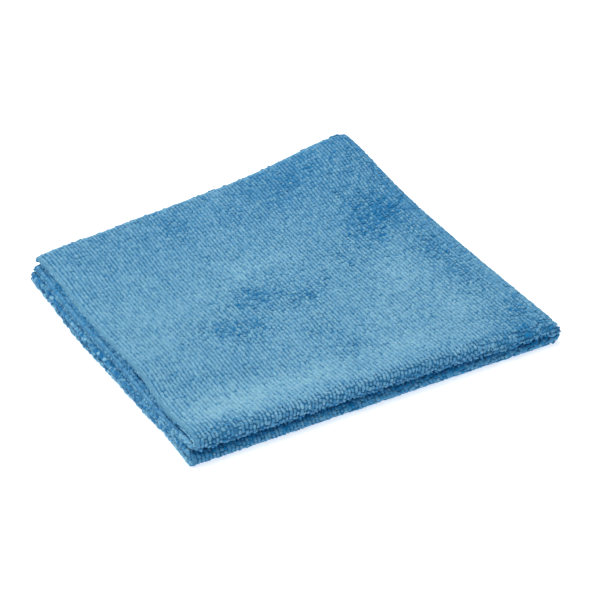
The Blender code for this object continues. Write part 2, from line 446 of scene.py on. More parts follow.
        # The second fold
        edge = self.thickness(np.ones_like(from_side), from_side)
        pair = (edge + self.layer_gap) / 2
        hollow = self.second_fold_hollow * 4 * back * (1 - back)
        rounding = self.corner_round * np.exp(-((back * self.side_edge_y[1] / self.corner_reach) ** 2))
        slant = self.second_fold_x[1] - self.second_fold_x[0]
        fold_x = self.second_fold_x[0] + slant * back - hollow - rounding
        near_y = self.first_fold_y[1] + (self.side_edge_y[1] - self.first_fold_y[1]) * back
        radius = 2 * pair
        for _ in range(self.rounds):
            start_x = fold_x - radius - pair - edge / 2
            radius = pair + (edge + self.layer_gap + self.opening(2, start_x, near_y)) / 2
        centre_x = fold_x - radius - pair - edge / 2

        def own_line(table: Table, place: Array) -> Array:
            """The line of each place's own layer, blended round the first fold."""
            lines = [layer_line(table, layer, place) for layer in (1, 2, 3, 4)]
            outside, inside = (np.where(upper > 0, lines[3 - k], lines[k]) for k in (0, 1))
            return outside * outer_share + inside * (1 - outer_share)

        # Seen from above
        own_hem = own_line(HEM_LINES, back * self.side_edge_y[0])
        arc = QUARTER * (radius + side * pair)
        distance = share_x * (arc + centre_x - own_hem)
        psi = np.minimum(distance / arc, 1.0) * QUARTER
        run = np.maximum(distance - arc, 0)
        x = np.where(run > 0, centre_x - run, centre_x + (radius + side * pair) * np.cos(psi))
        right = (x - own_hem) / (fold_x - own_hem)
        own_side = own_line(SIDE_EDGES, x) * (1 - smooth_step((right - 1) / self.side_fade + 1))
        near_y = self.first_fold_y[0] + (self.first_fold_y[1] - self.first_fold_y[0]) * right
        far_y = self.side_edge_y[0] + (self.side_edge_y[1] - self.side_edge_y[0]) * right
        y = near_y + (far_y + own_side * back**self.side_power - near_y) * back

        # Heights
        middles = self.layer_middles(np.minimum(x, centre_x), y, from_side)
        lower_z = (middles[1] + middles[0]) / 2 - side * (middles[1] - middles[0]) / 2
        upper_z = (middles[3] + middles[2]) / 2 + side * (middles[3] - middles[2]) / 2
        creased = sum(crease.height(x, y) for crease in CREASES)
        upper_z = upper_z + creased * np.clip(side, 0, 1) ** 2
        turned_z = (middles[3] + middles[0]) / 2 + upper * (radius + side * pair) * np.sin(psi)
        z = np.where(run > 0, np.where(upper > 0, upper_z, lower_z), turned_z)
        points = np.stack([x - self.centre[0], y - self.centre[1], z], axis=-1)
        return points, self.thickness(x - own_hem, from_side), x - own_hem, from_side

    def spots(self, across: Array, along: Array) -> Spots:
        """Places on the sheet with their directions.

        Args:
            across: From -1 to 1, hem to hem.
            along: From -1 to 1, side edge to side edge.

        Returns:
            The places.
        """
        point, *measures = self.read(across, along)
        ahead = self.read(np.minimum(across + self.probe, 1), along)[0]
        behind = self.read(np.maximum(across - self.probe, -1), along)[0]
        above = self.read(across, np.minimum(along + self.probe, 1))[0]
        below = self.read(across, np.maximum(along - self.probe, -1))[0]
        over, beside = unit(ahead - behind), unit(above - below)
        return Spots(point, unit(np.cross(beside, over)), over, beside, across, along, *measures)

    def near_edge(self, edge: Edge, place: Array, inset: Array) -> tuple[Spots, Array, Array]:
        """Places beside an edge.

        Args:
            edge: The edge.
            place: Where along it, from -1 to 1.
            inset: How far inside it.

        Returns:
            The places, the directions out of the sheet there, and the edge's own directions.
        """
        depth = self.half_length if edge.on_hem else self.cut_width / 2
        inward = edge.sign * (1 - inset / depth)
        if edge.on_hem:
            spots = self.spots(inward, place)
            return spots, spots.across * edge.sign, spots.along
        spots = self.spots(place, inward)
        return spots, spots.along * edge.sign, spots.across

    def lit(self, spots: Spots) -> Array:
        """How far each place is on layer 4, which lies open to the light, from 0 to 1."""
        upper = smooth_step(0.5 + self.light_ramp * spots.across_at)
        return upper * smooth_step(0.5 + self.light_ramp * spots.along_at)


@dataclass(frozen=True)
class Unevenness:
    """Smooth random levels from -1 to 1 over the cloth, from one seed."""

    seed: int
    reach: float
    cells: int = 96

    def level(self, x: Array, y: Array) -> Array:
        """Reads the levels.

        Args:
            x: Where, to the right of the origin.
            y: Where, behind the origin.

        Returns:
            The level at each place.
        """
        grid = np.random.default_rng(self.seed).uniform(-1, 1, (self.cells + 1, self.cells + 1))
        middle, last = self.cells / 2, self.cells - 0.001
        spot_x, spot_y = (np.clip(v / self.reach + middle, 0, last) for v in (x, y))
        i, j = spot_x.astype(int), spot_y.astype(int)
        u, v = smooth_step(spot_x - i), smooth_step(spot_y - j)
        near = grid[i, j] * (1 - u) + grid[i + 1, j] * u
        far = grid[i, j + 1] * (1 - u) + grid[i + 1, j + 1] * u
        return near * (1 - v) + far * v


class Value:
    """A shader number. Its operators add Math nodes."""

    def __init__(self, graph: Graph, socket: Socket) -> None:
        """Wraps one output socket of a graph."""
        self.graph = graph
        self.socket = socket

    def _math(self, operation: str, first: Value | float, second: Value | float) -> Value:
        """The result of one Math node on two terms."""
        node = self.graph.node("ShaderNodeMath", {"operation": operation}, {0: first, 1: second})
        return Value(self.graph, node.outputs[0])

    def __add__(self, other: Value | float) -> Value:
        """This plus the other."""
        return self._math("ADD", self, other)

    def __radd__(self, other: float) -> Value:
        """The other plus this."""
        return self._math("ADD", other, self)

    def __sub__(self, other: Value | float) -> Value:
        """This less the other."""
        return self._math("SUBTRACT", self, other)

    def __rsub__(self, other: float) -> Value:
        """The other less this."""
        return self._math("SUBTRACT", other, self)

    def __mul__(self, other: Value | float) -> Value:
        """This times the other."""
        return self._math("MULTIPLY", self, other)

    def __rmul__(self, other: float) -> Value:
        """The other times this."""
        return self._math("MULTIPLY", other, self)

    def clamped(self) -> Value:
        """This, held between 0 and 1."""
        return self._math("MINIMUM", self._math("MAXIMUM", self, 0.0), 1.0)


class Graph:
    """The node tree of one material."""

    def __init__(self, name: str) -> None:
        """Makes a new material of this name.

        Args:
            name: The material's name.
        """
        self.material = bpy.data.materials.new(name)
        self.material.use_nodes = True
        self.tree = self.material.node_tree
        self.shader = self.tree.nodes["Principled BSDF"]
        self.coordinates = self.node("ShaderNodeTexCoord", {}, {}).outputs["Object"]

    def put(self, socket: Socket, value: object) -> None:
        """Links a socket to a value, or sets it.

        Args:
            socket: The socket.
            value: A value or a link, or else what it is set to.
        """
        if isinstance(value, Value):
            value = value.socket
        if isinstance(value, Socket):
            self.tree.links.new(value, socket)
        else:
            socket.default_value = value

    def node(self, kind: str, settings: dict[str, object], inputs: dict[str | int, object]) -> bpy.types.Node:
        """Adds a node.

        Args:
            kind: The node's type.
            settings: Its own settings, which are set first.
            inputs: Values or links for its sockets, by name or number.

        Returns:
            The node.
        """
        made = self.tree.nodes.new(kind)
        for name, value in settings.items():
            setattr(made, name, value)
        for key, value in inputs.items():
            self.put(made.inputs[key], value)
        return made

    def attribute(self, name: str) -> Value:
        """The mesh's own number of this name."""
        made = self.node("ShaderNodeAttribute", {"attribute_name": name}, {})
        return Value(self, made.outputs["Fac"])

    def noise(self, size: float, detail: float = 2.0, stretch: Triple = WHITE) -> Value:
        """Even noise over the surface.

        Args:
            size: How large its marks are, in metres.
            detail: How many finer steps it has.
            stretch: How much denser it is along each axis.

        Returns:
            A value near 0.5.
        """
        scale = {"Scale": stretch, "Vector": self.coordinates}
        mapped = self.node("ShaderNodeMapping", {}, scale).outputs["Vector"]
        inputs = {"Vector": mapped, "Scale": 1 / size, "Detail": detail, "Roughness": 0.55}
        return Value(self, self.node("ShaderNodeTexNoise", {}, inputs).outputs["Fac"])

    def blend(self, share: Value | float, first: Tint, second: Tint, how: str = "MIX") -> Socket:
        """Mixes two colours.

        Args:
            share: How much of the second there is.
            first: A colour or a colour link.
            second: A colour or a colour link.
            how: Blender's name of the way of mixing.

        Returns:
            The mixed colour's socket.
        """
        made = self.node("ShaderNodeMix", {"data_type": "RGBA", "blend_type": how}, {"Factor": share})
        for key, colour in ((6, first), (7, second)):
            self.put(made.inputs[key], colour if isinstance(colour, Socket) else (*colour, 1.0))
        return made.outputs[2]

    def times(self, colour: Tint, channels: tuple[Value, Value, Value]) -> Socket:
        """A colour with each of its channels multiplied by a value."""
        shade = self.node("ShaderNodeCombineColor", {}, dict(enumerate(channels)))
        return self.blend(1.0, colour, shade.outputs[0], "MULTIPLY")

    def painted_shade(self, colour: Tint, share: Triple = (0.45, 0.66, 0.82)) -> Socket:
        """Paints shade on a colour where the mesh's number, open, is low, on the layers that lie under layer
        4.

        Args:
            colour: A colour or a colour link.
            share: How much of each channel is left there.

        Returns:
            The colour's socket.
        """
        return self.blend(1.0, colour, self.blend(self.attribute("open"), share, WHITE), "MULTIPLY")

    def relief(self, height: Value, depth: float) -> None:
        """Bumps the surface by a value, this many metres deep."""
        made = self.node("ShaderNodeBump", {}, {"Height": height, "Strength": 1.0, "Distance": depth})
        self.put(self.shader.inputs["Normal"], made.outputs["Normal"])

    def dress(self, **values: object) -> None:
        """Sets the shader's sockets. A double underscore stands for a space."""
        for name, value in values.items():
            self.put(self.shader.inputs[name.replace("__", " ")], value)


@dataclass(frozen=True)
class TerryFinish:
    """Looped microfibre yarn: painted deep blue at the roots as shade between the loops, painted lighter at
    the tips as highlight, with brushed patches and painted light and shade carried by its tone.
    """

    name: str = "looped_microfibre"
    # The roots are painted dark as shade between the loops, and the tips painted light as highlight.
    root: Triple = (0.058, 0.208, 0.350)
    flank: Triple = (0.115, 0.340, 0.535)
    tip: Triple = (0.199, 0.456, 0.658)
    sheen_tint: Triple = (0.45, 0.78, 1.00)
    tone_depth: Triple = (1.05, 0.58, 0.28)
    yarn_depth: float = 0.32
    root_reach: float = 1.9
    tip_gain: float = 1.8
    tip_start: float = 0.75
    fibre_mix: float = 0.5
    roughness: float = 0.82
    roughness_spread: float = 0.2
    sheen: float = 0.30
    sheen_roughness: float = 0.45
    specular: float = 0.12
    glow_through: float = 0.24
    glow_reach: Triple = (0.55, 0.78, 1.00)
    glow_depth: float = 1.1 * MM
    fibre: float = 0.16 * MM
    fibre_relief: float = 0.10 * MM
    yarn: float = 1.3 * MM

    def material(self) -> bpy.types.Material:
        """Builds the material. The pile's meshes carry its two numbers: lift, which paints shade at the
        loops' roots and highlight at their tips, and nap, the loops' tone with its painted light and shade.

        Returns:
            The material.
        """
        graph = Graph(self.name)
        lift, nap = graph.attribute("lift"), graph.attribute("nap")
        fibres = graph.noise(self.fibre, 2.0)
        yarns = graph.noise(self.yarn, 1.0)
        # From painted shade at the root to painted highlight at the tip, by the loop's number lift.
        low = graph.blend((lift * self.root_reach).clamped(), self.root, self.flank)
        tips = lift * self.tip_gain - self.tip_start + (fibres - 0.5) * self.fibre_mix
        high = graph.blend(tips.clamped(), low, self.tip)
        tone = nap + (yarns - 0.5) * self.yarn_depth
        colour = graph.times(high, tuple(1.0 + tone * depth for depth in self.tone_depth))
        graph.dress(Base__Color=colour, Roughness=self.roughness + (fibres - 0.5) * self.roughness_spread)
        graph.dress(Sheen__Weight=self.sheen, Sheen__Roughness=self.sheen_roughness)
        graph.dress(Sheen__Tint=(*self.sheen_tint, 1.0), Specular__IOR__Level=self.specular)
        graph.dress(Subsurface__Weight=self.glow_through)
        graph.dress(Subsurface__Radius=self.glow_reach, Subsurface__Scale=self.glow_depth)
        graph.relief(fibres, self.fibre_relief)
        return graph.material


@dataclass(frozen=True)
class GroundFinish:
    """The knitted ground under the pile, painted dark as shade deep between the loops, and the pressed hem
    band at its edges, painted darker on the layers under layer 4 as shade.
    """

    name: str = "knitted_ground"
    # The ground under the pile is painted dark, as shade between the loops.
    channel: Triple = (0.028, 0.195, 0.395)
    band: Triple = (0.190, 0.465, 0.650)
    worn_share: float = 0.82
    worn: float = 9 * MM
    worn_gain: float = 0.9
    worn_start: float = 0.2
    stitch: float = 0.5 * MM
    stitch_stretch: Triple = (1.0, 2.2, 1.0)
    stitch_relief: float = 0.16 * MM
    stitch_shade: tuple[float, float] = (0.84, 0.32)
    roughness: float = 0.9
    sheen: float = 0.15
    specular: float = 0.12

    def material(self) -> bpy.types.Material:
        """Builds the material. The sheet's mesh carries its numbers, hem and open.

        Returns:
            The material.
        """
        graph = Graph(self.name)
        stitches = graph.noise(self.stitch, 2.0, self.stitch_stretch)
        worn = (graph.noise(self.worn, 2.0) * self.worn_gain - self.worn_start).clamped()
        band = graph.blend(worn, self.band, tuple(self.worn_share * c for c in self.band))
        # The band is painted darker on the layers under layer 4, as painted shade.
        flat = graph.blend(graph.attribute("hem"), self.channel, graph.painted_shade(band))
        darkest, spread = self.stitch_shade
        graph.dress(Base__Color=graph.times(flat, (darkest + stitches * spread,) * 3))
        graph.dress(Roughness=self.roughness, Sheen__Weight=self.sheen, Specular__IOR__Level=self.specular)
        graph.dress(Sheen__Tint=(*PALE_SHEEN, 1.0))
        graph.relief(stitches, self.stitch_relief)
        return graph.material


@dataclass(frozen=True)
class ThreadFinish:
    """Soft polyester sewing thread, twisted, painted darker on the layers under layer 4 as shade."""

    name: str = "overlock_thread"
    colour: Triple = (0.215, 0.490, 0.665)
    shade: Triple = (0.130, 0.365, 0.565)
    strand: float = 0.22 * MM
    strand_relief: float = 0.08 * MM
    strand_gain: float = 1.2
    strand_start: float = 0.3
    worn: float = 7 * MM
    worn_gain: float = 0.8
    roughness: float = 0.75
    roughness_spread: float = 0.2
    sheen: float = 0.2
    specular: float = 0.15

    def material(self) -> bpy.types.Material:
        """Builds the material. The thread's mesh carries its number, open.

        Returns:
            The material.
        """
        graph = Graph(self.name)
        strands, worn = graph.noise(self.strand, 1.0), graph.noise(self.worn, 2.0)
        light = strands * self.strand_gain - self.strand_start + (worn - 0.5) * self.worn_gain
        # Stitches on the layers under layer 4 are painted darker, as painted shade.
        graph.dress(Base__Color=graph.painted_shade(graph.blend(light.clamped(), self.shade, self.colour)))
        graph.dress(Roughness=self.roughness + (strands - 0.5) * self.roughness_spread)
        graph.dress(Sheen__Weight=self.sheen, Sheen__Tint=(*PALE_SHEEN, 1.0))
        graph.dress(Specular__IOR__Level=self.specular)
        graph.relief(strands, self.strand_relief)
        return graph.material


@dataclass(frozen=True)
class FloorFinish:
    """Smooth white card that glows a little, as painted light that lights the cloth from below and lightens
    its shadow on the card.
    """

    name: str = "white_card"
    colour: Triple = (0.86, 0.865, 0.87)
    fleck: Triple = (0.8471, 0.852025, 0.85695)
    roughness: float = 0.9
    roughness_spread: float = 0.05
    specular: float = 0.2
    painted_glow: float = 0.62
    grain: float = 1.2 * MM
    grain_relief: float = 0.02 * MM

    def material(self) -> bpy.types.Material:
        """Builds the material.

        Returns:
            The material.
        """
        graph = Graph(self.name)
        grain = graph.noise(self.grain, 3.0)
        mixed = graph.blend(grain, self.colour, self.fleck)
        graph.dress(Base__Color=mixed, Roughness=self.roughness + (grain - 0.5) * self.roughness_spread)
        graph.dress(Specular__IOR__Level=self.specular)
        # The card glows, which is painted light: it lights the cloth from below and lightens its shadow.
        graph.dress(Emission__Color=(*WHITE, 1.0), Emission__Strength=self.painted_glow)
        graph.relief(grain, self.grain_relief)
        return graph.material


@dataclass
class Build:
    """Arrays for one mesh: its points, its triangles and its own numbers for each point."""

    points: Array
    triangles: Array
    numbers: dict[str, Array] = field(default_factory=dict)

    def piece(self, name: str, material: bpy.types.Material) -> bpy.types.Object:
        """Makes the object, which rides on the part's body and stays above the floor.

        Args:
            name: The piece's name.
            material: Its finish.

        Returns:
            The object.
        """
        self.points[:, 2] = np.maximum(self.points[:, 2], FLOOR_GAP)
        mesh = bpy.data.meshes.new(name)
        mesh.vertices.add(len(self.points))
        mesh.vertices.foreach_set("co", self.points.astype(np.float32).ravel())
        mesh.loops.add(self.triangles.size)
        mesh.loops.foreach_set("vertex_index", self.triangles.astype(np.int32).ravel())
        mesh.polygons.add(len(self.triangles))
        starts = np.arange(len(self.triangles), dtype=np.int32) * 3
        mesh.polygons.foreach_set("loop_start", starts)
        mesh.update(calc_edges=True)
        mesh.validate()
        mesh.shade_smooth()
        for key, values in self.numbers.items():
            stored = mesh.attributes.new(key, "FLOAT", "POINT")
            stored.data.foreach_set("value", values.astype(np.float32).ravel())
        mesh.materials.append(material)
        made = bpy.data.objects.new(name, mesh)
        bpy.context.scene.collection.objects.link(made)
        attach(made, "root")
        log.info("%s: %d triangles", name, len(self.triangles))
        return made


@dataclass
class GroundSheet:
    """The knitted ground of the cloth: one closed thin sheet in the solid's folds."""

    form: FoldedSheet
    steps: int = 76
    arc_steps: int = 9
    arc_shares: tuple[float, float] = (0.055, 0.016)
    crowding: float = 0.6
    pile_depth: float = 0.78 * MM
    thread_depth: float = 0.04 * MM
    pile_start: float = 0.2 * MM
    pile_rise: float = 1.5 * MM
    band: float = 0.7 * MM
    band_fade: float = 0.9 * MM
    rim_inset: float = 0.1 * MM
    floor_gap: float = 0.05 * MM

    def half(self, spots: Spots) -> Array:
        """Half the ground's thickness, which leaves room for the pile or the hem's thread."""
        inside = smooth_step((spots.from_edge - self.pile_start) / self.pile_rise)
        return spots.thick / 2 - self.thread_depth - (self.pile_depth - self.thread_depth) * inside

    def stations(self, arc_share: float) -> Array:
        """Places from one edge to the other, closer together at folds and edges."""
        even = np.linspace(0.0, 1.0, self.steps + 1)
        eased = self.crowding * (0.5 - 0.5 * np.cos(math.pi * even)) + (1 - self.crowding) * even
        arc = np.linspace(0.0, arc_share, self.arc_steps + 1)[:-1]
        half = np.concatenate([arc, arc_share + (1 - arc_share) * eased])
        return np.concatenate([-half[:0:-1], half])

    def make(self, finish: GroundFinish) -> bpy.types.Object:
        """Builds the sheet.

        Args:
            finish: The ground's finish.

        Returns:
            The piece.
        """
        across, along = np.meshgrid(*(self.stations(share) for share in self.arc_shares), indexing="ij")
        spots = self.form.spots(across.ravel(), along.ravel())
        lift = spots.outward * self.half(spots)[:, None]
        ring = self.border(across.shape)
        points = np.concatenate([spots.point + lift, spots.point - lift, self.rim(spots.chosen(ring))])
        points[:, 2] = np.maximum(points[:, 2], self.floor_gap)
        hem = 1 - smooth_step((spots.from_edge - self.band) / self.band_fade)
        lit = self.form.lit(spots)
        numbers = {
            "hem": np.concatenate([hem, hem, np.ones(len(ring))]),
            "open": np.concatenate([lit, lit, lit[ring]]),
        }
        sheet = Build(points, self.faces(across.shape, ring), numbers).piece("cloth_sheet", finish.material())
        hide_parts("cloth")
        return sheet

    def rim(self, spots: Spots) -> Array:
        """The points of the rounded rim, a little outside the sheet's border."""
        out = spots.across * np.trunc(spots.across_at)[:, None]
        out += spots.along * np.trunc(spots.along_at)[:, None]
        return spots.point + unit(out) * (self.form.hem_round - self.rim_inset)

    @staticmethod
    def border(shape: tuple[int, int]) -> Array:
        """The grid's border once round, as numbers of its points."""
        last_i, last_j = shape[0] - 1, shape[1] - 1
        ring = [(i, 0) for i in range(last_i)] + [(last_i, j) for j in range(last_j)]
        ring += [(i, last_j) for i in range(last_i, 0, -1)] + [(0, j) for j in range(last_j, 0, -1)]
        return np.array([i * shape[1] + j for i, j in ring])

    @staticmethod
    def faces(shape: tuple[int, int], ring: Array) -> Array:
        """The triangles of both skins and of the rim between them.

        Args:
            shape: The grid's columns and rows.
            ring: The numbers of its border's points.

        Returns:
            The triangles.
        """
        count = shape[0] * shape[1]
        number = np.arange(count).reshape(shape)
        a, b = number[:-1, :-1].ravel(), number[1:, :-1].ravel()
        c, d = number[1:, 1:].ravel(), number[:-1, 1:].ravel()
        outer = np.concatenate([np.stack([a, c, b], 1), np.stack([a, d, c], 1)])
        inner = outer[:, ::-1] + count
        rim = 2 * count + np.arange(len(ring))
        following, there = np.roll(rim, -1), np.roll(ring, -1)
        strips = [(ring, rim, following), (ring, following, there)]
        strips += [(rim, ring + count, there + count), (rim, there + count, following)]
        return np.concatenate([outer, inner, *(np.stack(strip, 1)[:, ::-1] for strip in strips)])


@dataclass(frozen=True)
class LoopForm:
    """A yarn loop's rounded form: sides, and the height and width shares of each ring."""

    sides: int
    rings: tuple[tuple[float, float], ...]

    def shell(self) -> tuple[Array, Array, Array]:
        """The form at unit size.

        Returns:
            Ring directions and width shares as (x, y), heights, and triangles. The last point is the tip.
        """
        turn = np.arange(self.sides) / self.sides * math.tau
        flat, height, triangles = [], [], []
        for k, (rise, wide) in enumerate(self.rings):
            shifted = turn + k * math.pi / self.sides
            flat.append(np.stack([np.cos(shifted), np.sin(shifted)], 1) * wide)
            height.append(np.full(self.sides, rise))
        for k in range(len(self.rings) - 1):
            low, high = k * self.sides, (k + 1) * self.sides
            for i in range(self.sides):
                j = (i + 1) % self.sides
                triangles += [(low + i, low + j, high + i), (low + j, high + j, high + i)]
        top, tip = (len(self.rings) - 1) * self.sides, len(self.rings) * self.sides
        triangles += [(top + i, top + (i + 1) % self.sides, tip) for i in range(self.sides)]
        flat, height = [*flat, np.zeros((1, 2))], [*height, [1.0]]
        return np.concatenate(flat), np.concatenate(height), np.array(triangles)

    def stand(self, base: Array, ways: tuple[Array, ...], light: tuple[Array, Array], nap: Array) -> Build:
        """Stands a loop on each place.

        Args:
            base: The middle of each loop's foot.
            ways: The vectors of its half length, its half width, its height and its tip's bend.
            light: How light its foot is where 1 is the tip, and the share of that which is left to it.
            nap: Its own tone.

        Returns:
            The mesh's arrays.
        """
        flat, rise, shape = self.shell()
        foot, share = light
        long, wide, up, bend = (way[:, None, :] for way in ways)
        points = base[:, None, :] + long * flat[:, :1] + wide * flat[:, 1:]
        points += (up + bend * rise[:, None]) * rise[:, None]
        triangles = shape + (np.arange(len(base)) * len(rise))[:, None, None]
        numbers = {"lift": (foot + (1 - foot) * rise) * share[:, None], "nap": np.repeat(nap, len(rise))}
        return Build(points.reshape(-1, 3), triangles.reshape(-1, 3), numbers)


class Detail(Enum):
    """How finely a loop is modelled."""

    FINE = LoopForm(7, ((0.0, 0.72), (0.45, 1.0), (0.84, 0.74)))
    PLAIN = LoopForm(6, ((0.0, 1.0), (0.78, 0.78)))
    LIGHT = LoopForm(4, ((0.0, 1.0), (0.60, 0.85)))


@dataclass(frozen=True)
class PilePart:
    """One stretch of pile, made as one joined mesh. Its sizes are shares of the pile's own."""

    name: str
    skin: Skin
    detail: Detail
    tall: float
    long: float
    wide: float
    root_lift: float
    # tone is the stretch's own tone with painted shade on the rolls and between the layers, and face is
    # painted shade on loops that turn away from straight up.
    tone: float
    sunk: float
    lip: float = 0.0
    face: float = 0.0


# The lower roll and the pile between the layers are painted darker as shade under the layers above them, and
# the upper roll is painted darker on its face as it turns down from the light.
PILE_PARTS = (
    PilePart("pile_top_front", Skin.OUTER, Detail.PLAIN, 1.0, 1.24, 0.92, 0.26, 0.03, 0.015),
    PilePart("pile_top_back", Skin.OUTER, Detail.PLAIN, 1.0, 1.24, 0.92, 0.26, 0.03, 0.015),
    PilePart("pile_second_fold", Skin.OUTER, Detail.PLAIN, 1.05, 1.3, 1.2, 0.0, -0.10, 0.05),
    PilePart("pile_upper_roll", Skin.OUTER, Detail.FINE, 1.15, 1.35, 0.86, 0.56, -0.10, 0.05, 0.95, -0.26),
    PilePart("pile_lower_roll", Skin.OUTER, Detail.FINE, 1.0, 1.4, 0.92, 0.24, -0.50, 0.03),
    PilePart("pile_underside", Skin.OUTER, Detail.LIGHT, 0.95, 1.1, 1.0, 0.1, 0.0, 0.0),
    PilePart("pile_inner_edges", Skin.OUTER, Detail.LIGHT, 1.6, 1.3, 1.1, 0.2, -0.12, 0.03),
    PilePart("pile_between_layers", Skin.INNER, Detail.LIGHT, 1.5, 1.4, 1.2, 0.3, -0.44, 0.0),
)


@dataclass(frozen=True)
class Habit:
    """A habit of the loops: its usual level, and what a full ruffle and the fluffed corner add to it."""

    usual: float
    ruffled: float
    fluffed: float = 0.0

    def at(self, ruffle: Array, fluff: Array | float = 0.0) -> Array:
        """Its level where the nap is this ruffled and fluffed."""
        return self.usual + self.ruffled * ruffle + self.fluffed * fluff


@dataclass
class Pile:
    """Rows of yarn loops on both faces of the sheet, parallel to the hems."""

    form: FoldedSheet
    ground: GroundSheet
    row_pitch: float = 2.0 * MM
    loop_pitch: float = 1.38 * MM
    row_wander: float = 0.06
    loop_wander: float = 0.16
    half_long: float = 0.92 * MM
    half_wide: float = 1.02 * MM
    height: float = 0.90 * MM
    sink: float = 0.12 * MM
    bare_band: float = 0.5 * MM
    top_band: float = 0.6 * MM
    roll_reach: tuple[float, float] = (5 * MM, 7.5 * MM)
    wrap_share: float = 0.06
    front_y: float = -4 * MM
    between_depth: float = 9 * MM
    hem_depth: float = 13 * MM
    fold_depth: float = 12 * MM
    side_depth: tuple[float, float] = (12 * MM, 26 * MM)
    open_from_x: float = 30 * MM
    top_from_z: float = 8 * MM
    top_upright: float = 0.3
    cleft_height: float = 6.4 * MM
    cleft_shade: float = 0.8
    face_ramp: float = 1.25
    corner: tuple[float, float] = (104.5 * MM, -95.5 * MM)
    corner_reach: float = 6 * MM
    corner_rise: float = 0.7
    clumps: tuple[tuple[float, Unevenness], ...] = (
        (0.6, Unevenness(5, 3.2 * MM)),
        (0.4, Unevenness(6, 7 * MM)),
    )
    swells: Unevenness = Unevenness(7, 16 * MM)
    specks: Unevenness = Unevenness(8, 1.9 * MM)
    root_shade_swells: Unevenness = Unevenness(9, 8 * MM)
    swirls: tuple[Unevenness, Unevenness] = (Unevenness(21, 3.4 * MM), Unevenness(22, 3.4 * MM))
    mottle: float = 0.055
    patch_break: float = 0.25
    swell_depth: float = 0.06
    ruffle_break: float = 0.9
    ruffle_base: float = 0.10
    speck_from: float = 0.25
    speck_depth: float = 0.25
    swirl: Habit = Habit(0.15, 1.1)
    turn_deg: float = 16
    turn_spread_deg: Habit = Habit(11, 30)
    leans: tuple[float, float] = (0.22, 0.0)
    lean_spreads: tuple[Habit, Habit] = (Habit(0.12, 0.12, 0.5), Habit(0.10, 0.12, 0.5))
    size_spread: float = 0.10
    small_share: float = 0.10
    small_size: float = 0.80
    narrowed: float = 0.10
    widened: float = 0.35
    sunk_height: float = 0.40
    sunk_from: float = 0.15
    sunk_ruffled: float = 0.30
    least_room: float = 0.35
    # These set how much shade is painted at the loops' roots: deeper where the rows are ruffled, less on
    # lighter loops.
    pressed: Habit = Habit(0.10, -0.5)
    root_shade_depth: float = 0.25
    tip_light: float = 1.6
    lightest_foot: float = 0.85
    tone_spread: Habit = Habit(0.13, 0.16)
    darkest: float = -0.9
    lightest: float = 0.24
    lighter: float = 0.16
    seed: int = 11

    def places(self, skin: Skin) -> Spots:
        """All places where a loop could stand on a face.

        Args:
            skin: The face.

        Returns:
            The places, row after row.
        """
        rng = np.random.default_rng(self.seed + int(skin.value))
        half_rows = round(self.form.half_length / self.row_pitch)
        half_loops = round(self.form.cut_width / 2 / self.loop_pitch)
        rows, steps = ((np.arange(-n, n) + 0.5) / n for n in (half_rows, half_loops))
        across, along = np.meshgrid(rows, steps, indexing="ij")
        along = along + rng.uniform(-0.5, 0.5, (len(rows), 1)) / half_loops
        along += rng.normal(0, self.loop_wander, along.shape) / half_loops
        across = across + rng.normal(0, self.row_wander, across.shape) / half_rows
        return self.form.spots(np.clip(across, -1, 1).ravel(), np.clip(along, -1, 1).ravel())

    def masks(self, spots: Spots) -> dict[str, Array]:
        """Which of a face's loops stand in which piece. Those deep between the layers are left out.

        Args:
            spots: All the face's places.

        Returns:
            A mask for each piece, by its name.
        """
        upper, outer = spots.across_at > 0, spots.along_at > 0
        kept = spots.from_edge > np.where(upper & outer, self.top_band, self.bare_band)
        from_fold = np.abs(spots.along_at) * self.form.cut_width / 2
        rolled = kept & (from_fold < np.where(outer, self.roll_reach[1], self.roll_reach[0]))
        outside, inside = kept & ~rolled & outer, kept & ~rolled & (spots.along_at < 0)
        wrap = outside & (np.abs(spots.across_at) < self.wrap_share)
        top, under = outside & ~wrap & upper, outside & ~wrap & (spots.across_at < 0)
        front = spots.point[:, 1] < self.front_y
        deep = np.where(spots.point[:, 0] > self.open_from_x, self.side_depth[1], self.side_depth[0])
        seen = (spots.from_hem < self.hem_depth) | (spots.from_side < deep) | (from_fold < self.fold_depth)
        lower = rolled & (spots.across_at < 0)
        return {
            "pile_top_front": top & front,
            "pile_top_back": top & ~front,
            "pile_second_fold": wrap,
            "pile_upper_roll": rolled & ~lower,
            "pile_lower_roll": lower,
            "pile_underside": under,
            "pile_inner_edges": inside & seen,
            "pile_between_layers": kept & (spots.from_edge < self.between_depth),
        }

    def brushed(self, spots: Spots, on_top: Array) -> tuple[Array, Array]:
        """How light the top is painted, by the nap's patches and by painted light and shade, and how ruffled
        the nap is.

        Args:
            spots: The loops' places.
            on_top: Where the top layer's own table holds.

        Returns:
            The tone, near 0, and the ruffle, from 0 to 1.
        """
        x, y = spots.point[:, 0], spots.point[:, 1]
        tone, ruffle = np.zeros_like(x), np.zeros_like(x)
        for spot in NAP_AND_LIGHT_SPOTS:
            weight = spot.weight(x + self.form.centre[0], y + self.form.centre[1]) * on_top
            tone, ruffle = tone + weight * spot.tone, ruffle + weight * spot.ruffle

        # Clumps break up the dark patches and mottle the rest, and wide swells vary the whole
        broken = sum(share * clumps.level(x, y) for share, clumps in self.clumps)
        mottled = self.mottle * np.clip(1 - 3 * tone, 0.2, 1) * broken
        tone = tone + self.patch_break * np.minimum(tone, 0) * broken + mottled
        tone = tone + self.swell_depth * self.swells.level(x, y)
        ruffle = ruffle * (1 + self.ruffle_break * broken)
        ruffle = np.clip(ruffle + self.ruffle_base + 0.2 * np.clip(broken, 0, 1), 0, 1)
        rough = np.clip(ruffle - self.speck_from, 0, 1)
        return tone - self.speck_depth * rough * self.specks.level(x, y), ruffle

